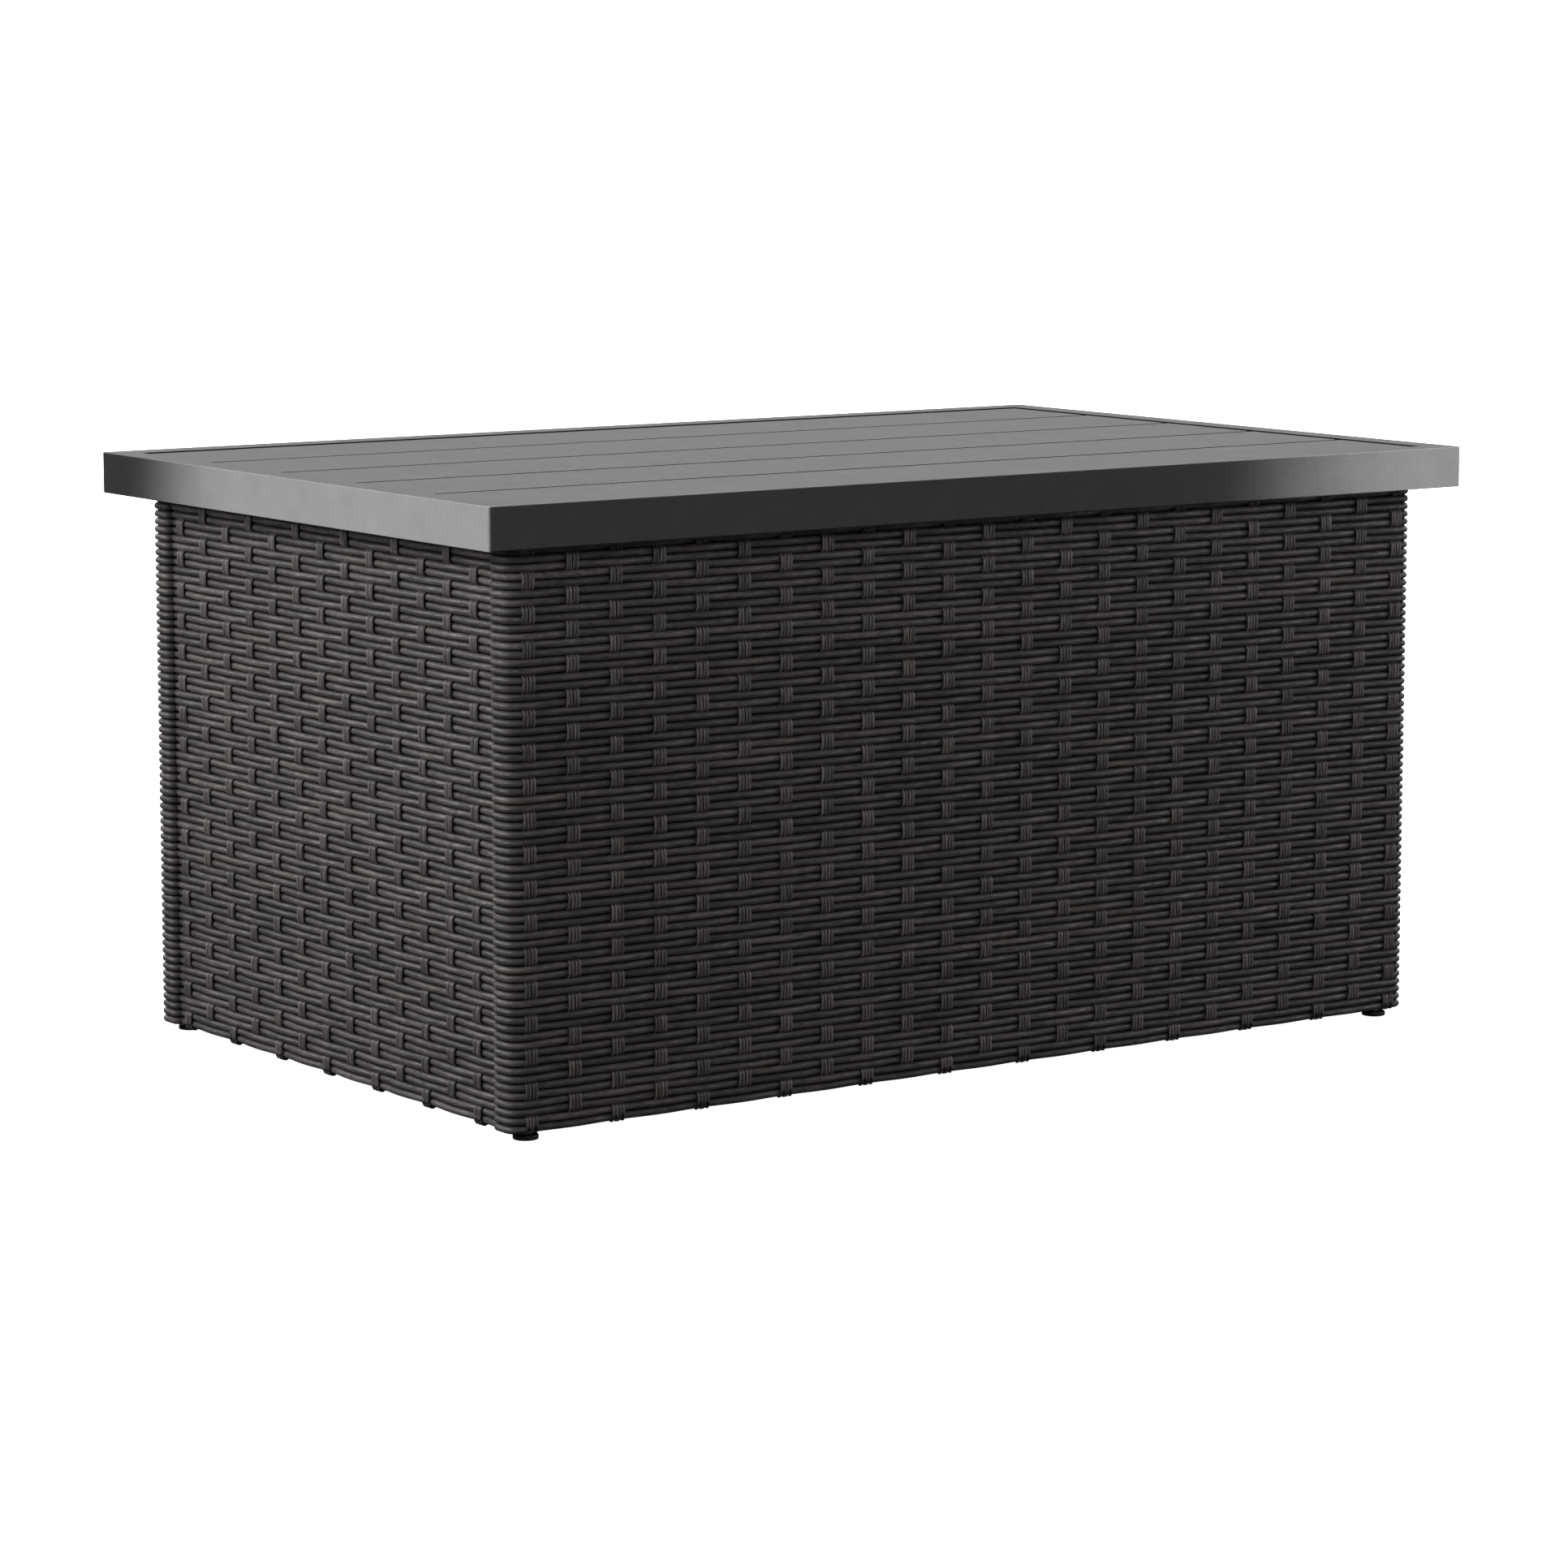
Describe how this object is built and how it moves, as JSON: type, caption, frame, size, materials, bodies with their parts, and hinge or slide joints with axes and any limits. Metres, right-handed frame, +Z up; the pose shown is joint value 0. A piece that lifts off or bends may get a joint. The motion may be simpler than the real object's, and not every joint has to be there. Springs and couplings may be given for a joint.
{
  "type": "wicker coffee table",
  "caption": "Rectangular outdoor coffee table with a slatted metal top on a hollow woven base that stands on round levelling glides.",
  "frame": {"origin": "on the floor under the middle of the top", "axes": "+X along the table's length, -Y towards the front long side, +Z up"},
  "size_m": [1.067, 0.673, 0.54],
  "materials": {
    "top_paint": "fine textured powder coat, neutral grey, satin",
    "frame_paint": "dark brown-black powder coat, satin",
    "wicker": "extruded resin wicker strand, charcoal brown with lengthwise streaks, satin",
    "glide_plastic": "moulded black plastic, satin",
    "zinc_steel": "zinc plated steel"
  },
  "bodies": {
    "table": {"top_rail_front": "top_paint", "top_rail_back": "top_paint", "top_rail_left": "top_paint", "top_rail_right": "top_paint", "slat_1": "top_paint", "slat_2": "top_paint", "slat_3": "top_paint", "slat_4": "top_paint", "slat_5": "top_paint", "top_batten_left": "top_paint", "top_batten_middle": "top_paint", "top_batten_right": "top_paint", "lower_rail_front": "frame_paint", "upper_rail_front": "frame_paint", "woven_panel_front": "wicker", "front_stile_left": "frame_paint", "front_stile_right": "frame_paint", "lower_rail_back": "frame_paint", "upper_rail_back": "frame_paint", "woven_panel_back": "wicker", "back_stile_left": "frame_paint", "back_stile_right": "frame_paint", "lower_rail_left": "frame_paint", "upper_rail_left": "frame_paint", "woven_panel_left": "wicker", "left_stile": "frame_paint", "cross_brace_left": "frame_paint", "lower_rail_right": "frame_paint", "upper_rail_right": "frame_paint", "woven_panel_right": "wicker", "right_stile": "frame_paint", "cross_brace_right": "frame_paint", "post_front_left": "frame_paint", "post_plug_front_left": "glide_plastic", "post_front_right": "frame_paint", "post_plug_front_right": "glide_plastic", "post_back_left": "frame_paint", "post_plug_back_left": "glide_plastic", "post_back_right": "frame_paint", "post_plug_back_right": "glide_plastic", "top_brackets": "frame_paint", "top_screws": "zinc_steel", "threaded_inserts": "zinc_steel"},
    "glide_front_left": {"glide_disc_front_left": "glide_plastic", "glide_stud_front_left": "zinc_steel"},
    "glide_front_right": {"glide_disc_front_right": "glide_plastic", "glide_stud_front_right": "zinc_steel"},
    "glide_back_left": {"glide_disc_back_left": "glide_plastic", "glide_stud_back_left": "zinc_steel"},
    "glide_back_right": {"glide_disc_back_right": "glide_plastic", "glide_stud_back_right": "zinc_steel"}
  },
  "joints": [
    {"name": "glide_front_left_travel", "type": "slide", "parent": "table", "child": "glide_front_left", "axis": [0, 0, -1], "range_m": [0, 0.01]},
    {"name": "glide_front_right_travel", "type": "slide", "parent": "table", "child": "glide_front_right", "axis": [0, 0, -1], "range_m": [0, 0.01]},
    {"name": "glide_back_left_travel", "type": "slide", "parent": "table", "child": "glide_back_left", "axis": [0, 0, -1], "range_m": [0, 0.01]},
    {"name": "glide_back_right_travel", "type": "slide", "parent": "table", "child": "glide_back_right", "axis": [0, 0, -1], "range_m": [0, 0.01]}
  ]
}
